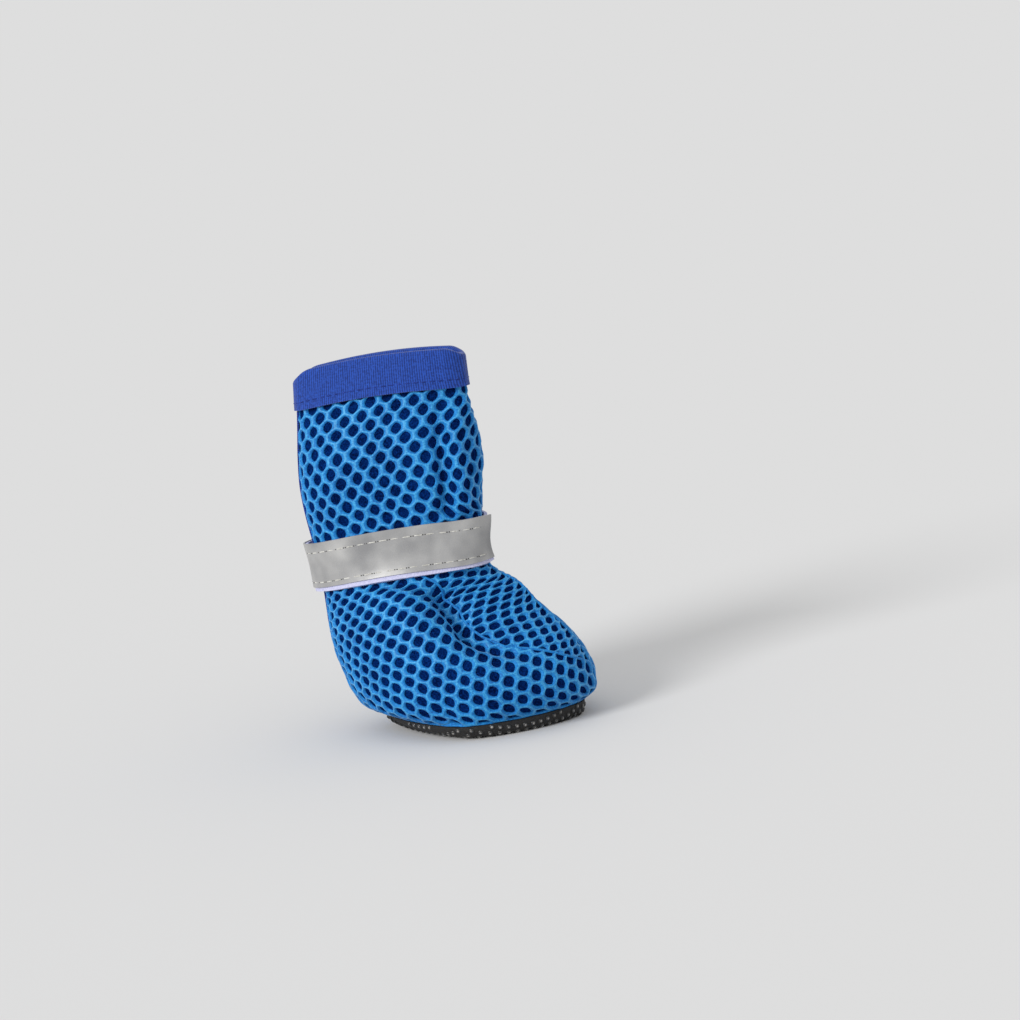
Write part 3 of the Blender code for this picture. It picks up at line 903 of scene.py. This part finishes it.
def stand_off(turn):
    """How far the strap's inner face stands off the net along its turn round the ankle."""
    lap_at = 1 + STRAP_START_TURN - LAP_LEAD_TURN
    lap = smooth(turn, lap_at - LAP_RAMP_TURN, lap_at)
    fold = 1 - smooth(np.abs(turn - 0.5), 0.0, BACK_SLACK_TURN)
    flare = smooth(turn, STRAP_FREE_TURN - FLARE_TURN, STRAP_FREE_TURN)
    return (FIT + lap * (STRAP_THICKNESS + FIT)
            + fold * (BACK_TAPE_THICKNESS + FIT + STRAP_BACK_SLACK) + flare * STRAP_END_FLARE)


def wrap(name, start, end, low, high, lift, thickness, material, trim=0.0):
    """Band round the ankle, its top edge trimmed lower at its start."""
    stations = []
    for turn in np.linspace(start, end, int((end - start) * STRAP_STATIONS)):
        angle = round_angle(turn)
        top = high - trim * (1 - smooth(turn, start, start + TRIM_TURN))
        heights = np.linspace(low, top, BAND_POINTS) + STRAP_TILT * math.cos(angle)
        out = stand_off(turn) + lift
        slant = np.linspace(0, RIPPLE_SLANT, BAND_POINTS)
        ripple = RIPPLE * np.sin(2 * math.pi * STRAP_RIPPLES * turn + slant)
        stations.append(band_outline(heights, angle, out, out + thickness + ripple))
    return sweep(name, stations, False, material)


def make_strap():
    strap = wrap("strap_band", STRAP_START_TURN, STRAP_FREE_TURN, STRAP_LOW, TAPE_HIGH - TAPE_OVERHANG,
                 0.0, STRAP_THICKNESS, LILAC, trim=STRAP_TRIM)
    finish_piece(strap, "strap_lilac", "strap")
    tape = wrap("tape_band", TAPE_START_TURN, STRAP_FREE_TURN, TAPE_LOW, TAPE_HIGH,
                STRAP_THICKNESS + TAPE_GAP, TAPE_THICKNESS, TAPE)
    finish_piece(tape, "tape_grey", "reflective_tape")


def make_sole():
    """Cup of grip cloth, raised on its dots."""
    angles = round_angle(np.arange(SOLE_POINTS) / SOLE_POINTS)
    outline, _ = surface(np.full(SOLE_POINTS, EDGE_HEIGHT), angles)
    inradius = SOLE_LENGTH * SOLE_WIDTH / (2 * math.hypot(SOLE_LENGTH, SOLE_WIDTH))
    inset = SOLE_THICKNESS / inradius
    flat_inside = SOLE_FLAT_SHARE - inset / 2
    turns = np.linspace(0, math.pi / 2, 9)

    def ring(turn, edge_share, flat_share, floor):
        reach = math.sin(turn)
        share = flat_share + (edge_share - flat_share) * reach
        height = floor + (SOLE_RISE - floor) * (1 - math.cos(turn))
        return np.stack((share * outline[:, 0] + SOLE_FLAT_FORWARD * (1 - reach),
                         share * outline[:, 1], np.full(SOLE_POINTS, height)), axis=1)

    rings = [ring(0.0, 1.0, SOLE_FLAT_SHARE * share, DOT_HEIGHT) for share in SOLE_RINGS]
    rings += [ring(turn, 1.0, SOLE_FLAT_SHARE, DOT_HEIGHT) for turn in turns]
    rings += [ring(turn, 1.0 - inset, flat_inside, SOLE_INSIDE) for turn in turns[::-1]]
    rings += [ring(0.0, 1.0, flat_inside * share, SOLE_INSIDE) for share in SOLE_RINGS[::-1]]
    points = np.concatenate(rings)
    faces = ring_faces(0, SOLE_POINTS, len(rings))
    faces.append(tuple(range(SOLE_POINTS)))
    faces.append(tuple(range(len(points) - SOLE_POINTS, len(points))))
    piece = clean(link_mesh("sole_cloth", points, faces, [GRIP]), SOLE_MERGE)
    finish_piece(piece, "grip_black", "sole")


def sole_point(across, along):
    """Place and outward direction, on the sole's outer face, of a point of it laid flat."""
    count = 720
    angles = round_angle(np.arange(count + 1) / count)
    outline, _ = surface(np.full(count + 1, EDGE_HEIGHT), angles)
    directions = np.unwrap(np.arctan2(outline[:, 1], outline[:, 0]))
    direction = math.atan2(along, across) % (2 * math.pi)
    edge_x = np.interp(direction, directions, outline[:, 0])
    edge_y = np.interp(direction, directions, outline[:, 1])
    share = math.hypot(across, along) / math.hypot(edge_x, edge_y)
    if share <= SOLE_FLAT_SHARE:
        return np.array((across + SOLE_FLAT_FORWARD, along, DOT_HEIGHT)), np.array((0, 0, -1.0))
    turn = (share - SOLE_FLAT_SHARE) / TURN_SHARE * math.pi / 2
    if turn > LAST_DOT_TURN:
        return None

    def at(turn):
        reach = math.sin(turn)
        part = SOLE_FLAT_SHARE + (1 - SOLE_FLAT_SHARE) * reach
        return np.array((part * edge_x + SOLE_FLAT_FORWARD * (1 - reach), part * edge_y,
                         DOT_HEIGHT + (SOLE_RISE - DOT_HEIGHT) * (1 - math.cos(turn))))

    slope = at(turn + 0.02) - at(turn - 0.02)
    aside = np.array((-edge_y, edge_x, 0.0))
    normal = np.cross(slope, aside)
    normal /= np.linalg.norm(normal)
    return at(turn), -normal if normal[2] > 0 else normal


def make_dots():
    """Rubbery dots over the sole's outer face, in staggered rows."""
    points, faces, tops = [], [], []
    rows = int(SOLE_LENGTH / DOT_ROW)
    for j in range(-rows, rows):
        for i in range(-rows, rows):
            found = sole_point((i + 0.5 * (j % 2)) * DOT_SPACING, j * DOT_ROW)
            if found is None:
                continue
            middle, normal = found
            aside = np.cross(normal, (0.3, 1.0, 0.2))
            aside /= np.linalg.norm(aside)
            other = np.cross(normal, aside)
            base = len(points)
            for share, rise in DOT_PROFILE:
                radius = DOT_RADIUS * share
                points += ring_points(middle + normal * DOT_HEIGHT * rise, radius * aside, radius * other,
                                      DOT_SIDES)
            peak = len(points)
            points.append(middle + normal * DOT_HEIGHT)
            faces += ring_faces(base, DOT_SIDES, len(DOT_PROFILE))
            # These top faces take the painted glint.
            tops += range(len(faces), len(faces) + DOT_SIDES)
            last = peak - DOT_SIDES
            faces += [(last + k, last + (k + 1) % DOT_SIDES, peak) for k in range(DOT_SIDES)]
            faces.append(tuple(range(base, base + DOT_SIDES))[::-1])
    points = [(x, y, max(z, 0.0)) for x, y, z in points]
    finishes = np.zeros(len(faces), int)
    finishes[tops] = 1
    piece = link_mesh("sole_dots", points, faces, [DOT, DOT_GLINT], face_materials=finishes)
    finish_piece(clean(piece, SMALL_MERGE), "grip_black")


def make_back_tape():
    """Narrow webbing folded round the back seam."""
    heights = np.linspace(EDGE_HEIGHT + BACK_TAPE_ABOVE_EDGE, BINDING_LOW - FIT, 60)
    sides = np.linspace(-1, 1, BAND_POINTS) * BACK_TAPE_SHOWN / 2
    fine = np.linspace(math.pi / 2, math.pi, 400)
    stations = []
    for height in heights:
        y = surface(np.full(len(fine), height), fine)[0][:, 1]
        angles = np.interp(np.abs(sides), y[::-1], fine[::-1])
        angles = np.where(sides >= 0, angles, 2 * math.pi - angles)
        inner = skin(height, angles, -BACK_TAPE_SUNK)
        outer = skin(height, angles[::-1], BACK_TAPE_THICKNESS - BACK_TAPE_SUNK)
        stations.append(np.concatenate((inner, outer)))
    finish_piece(sweep("back_webbing", stations, False, ROYAL), "webbing_royal", "back_seam_tape")


def make_hem():
    """The net's lower edge turned under along the sole seam, coloured with the flank's painted shade."""
    upward = np.array((0.0, 0.0, 1.0))
    stations = []
    for turn in np.arange(HEM_STATIONS) / HEM_STATIONS:
        point, facing = surface(np.array([EDGE_HEIGHT]), np.array([round_angle(turn)]))
        radius = HEM_RADIUS * (1 + sum(share * math.sin(2 * math.pi * lumps * turn + start)
                                       for share, lumps, start in HEM_LUMPS))
        middle = point[0] - facing[0] * HEM_INSIDE + upward * HEM_ABOVE
        stations.append(ring_points(middle, radius * facing[0], radius * upward))
    finish_piece(sweep("net_hem", stations, True, FLANK_SHADE), "mesh_blue")


def stitch_row(name, places, thickness, material):
    """Thread stitches: each bows out of the cloth between the two holes that it dives into."""
    points, faces = [], []
    for start, end, out in places:
        run = end - start
        aside = np.cross(run, out)
        aside /= np.linalg.norm(aside)
        base = len(points)
        for share in np.arange(STITCH_SPANS + 1) / STITCH_SPANS:
            bow = math.sin(math.pi * share)
            middle = start + run * share + out * thickness * (STITCH_BOW * bow - STITCH_DIVE)
            girth = thickness / 2 * (STITCH_END_GIRTH + (1 - STITCH_END_GIRTH) * bow)
            points += ring_points(middle, girth * STITCH_FLATNESS * aside, girth * out, STITCH_SIDES)
        faces += ring_faces(base, STITCH_SIDES, STITCH_SPANS + 1)
        faces.append(tuple(range(base, base + STITCH_SIDES)))
        faces.append(tuple(range(len(points) - STITCH_SIDES, len(points)))[::-1])
    return clean(link_mesh(name, points, faces, [material]), SMALL_MERGE)


def along_band(start, end, height, lift, pitch, share, tilt=0.0):
    """Starts and ends of stitches at even lengths along a band, with the way out of the cloth."""
    turns = np.linspace(start, end, 1200)
    route = skin(height + tilt * np.cos(round_angle(turns)), round_angle(turns), lift(turns))
    length = lengths_along(route)
    places = []
    for here in np.arange(FIRST_STITCH * pitch, length[-1] - pitch, pitch):
        ends = np.interp((here, here + share * pitch), length, turns)
        point = skin(height + tilt * np.cos(round_angle(ends)), round_angle(ends), lift(ends))
        out = normals(np.array([height]), round_angle(ends[:1]))[0]
        places.append((point[0], point[1], out))
    return places


def make_stitches():
    """Two rows of off-white stitches along the tape, and royal ones round the collar."""
    def on_tape(turns):
        return stand_off(turns) + STRAP_THICKNESS + TAPE_GAP + TAPE_THICKNESS

    places = []
    for height in (TAPE_HIGH - TOP_ROW_BELOW_EDGE, TAPE_LOW + LOW_ROW_ABOVE_EDGE):
        places += along_band(TAPE_STITCH_START, STRAP_FREE_TURN, height, on_tape,
                             TAPE_STITCH_PITCH, TAPE_STITCH_SHARE, STRAP_TILT)
    finish_piece(stitch_row("tape_stitches", places, TAPE_THREAD, THREAD), "tape_grey")
    # Dark discs at both ends of each stitch: painted shade of the needle holes.
    points, faces = [], []
    for start, end, out in places:
        along = (end - start) / np.linalg.norm(end - start)
        across = np.cross(out, along)
        for place in (start, end):
            faces.append(tuple(range(len(points), len(points) + ROUND_SIDES)))
            points += ring_points(place + NEEDLE_LIFT * out, NEEDLE_LONG * along, NEEDLE_WIDE * across)
    finish_piece(link_mesh("tape_needle_hole_shades", points, faces, [NEEDLE_HOLE_SHADE]), "tape_grey")

    def on_collar(turns):
        return np.full_like(turns, FIT + BINDING_THICKNESS + COLLAR_THREAD_LIFT)

    seam = along_band(0.0, 1.0, BINDING_LOW + COLLAR_ROW_ABOVE_EDGE, on_collar,
                      COLLAR_STITCH_PITCH, COLLAR_STITCH_SHARE)
    finish_piece(stitch_row("collar_stitches", seam, COLLAR_THREAD, ROYAL_THREAD), "webbing_royal")


# Stage, light and camera

def make_stage():
    """Pale floor, wide enough to run to the horizon, in the backdrop's own grey."""
    points = [(FLOOR_REACH * x, FLOOR_REACH * y, 0.0) for x, y in ((-1, -1), (1, -1), (1, 1), (-1, 1))]
    material, _, shader = new_material("stage_pale", (FLOOR_GREY,) * 3, 1.0)
    set_inputs(shader, Specular_IOR_Level=0.0)
    link_mesh("stage_floor", points, [(0, 1, 2, 3)], [material])


def make_lights():
    """Soft light from above the near left, with an even pale surround."""
    world = bpy.data.worlds.new("studio")
    world.use_nodes = True
    set_inputs(world.node_tree.nodes["Background"], Color=(BACKDROP_GREY,) * 3 + (1.0,))
    bpy.context.scene.world = world
    data = bpy.data.lights.new("window", "SUN")
    data.energy = SUN_STRENGTH
    data.angle = SUN_ANGLE
    light = bpy.data.objects.new("window", data)
    light.rotation_mode = "QUATERNION"
    light.rotation_quaternion = Vector(SUN_FROM).to_track_quat("Z", "Y")
    bpy.context.scene.collection.objects.link(light)


def make_camera():
    """Camera that sees the boot as the photograph does."""
    azimuth, elevation, roll = CAMERA_AZIMUTH, CAMERA_ELEVATION, CAMERA_ROLL
    back = Vector((math.sin(azimuth) * math.cos(elevation),
                   -math.cos(azimuth) * math.cos(elevation), math.sin(elevation)))
    right = Vector((math.cos(azimuth), math.sin(azimuth), 0.0))
    up = back.cross(right)
    picture_right = math.cos(roll) * right - math.sin(roll) * up
    picture_up = math.sin(roll) * right + math.cos(roll) * up
    half = PHOTO_SIDE / 2
    aside = (half - SOLE_MIDDLE_PIXEL[0]) / PIXELS_PER_METRE
    above = (SOLE_MIDDLE_PIXEL[1] - half) / PIXELS_PER_METRE
    middle = Vector((0.0, 0.0, SOLE_RISE)) + aside * picture_right + above * picture_up
    data = bpy.data.cameras.new("camera")
    data.sensor_width = SENSOR
    data.lens = SENSOR * PIXELS_PER_METRE * CAMERA_DISTANCE / PHOTO_SIDE
    camera = bpy.data.objects.new("camera", data)
    turned = Matrix((picture_right, picture_up, back)).transposed()
    camera.matrix_world = Matrix.Translation(middle + CAMERA_DISTANCE * back) @ turned.to_4x4()
    bpy.context.scene.collection.objects.link(camera)
    bpy.context.scene.camera = camera


make_camera()
make_lights()
make_stage()
make_nets()
make_seams()
make_hem()
make_binding()
make_back_tape()
make_strap()
make_sole()
make_dots()
make_stitches()
bpy.context.scene.view_settings.view_transform = "Standard"
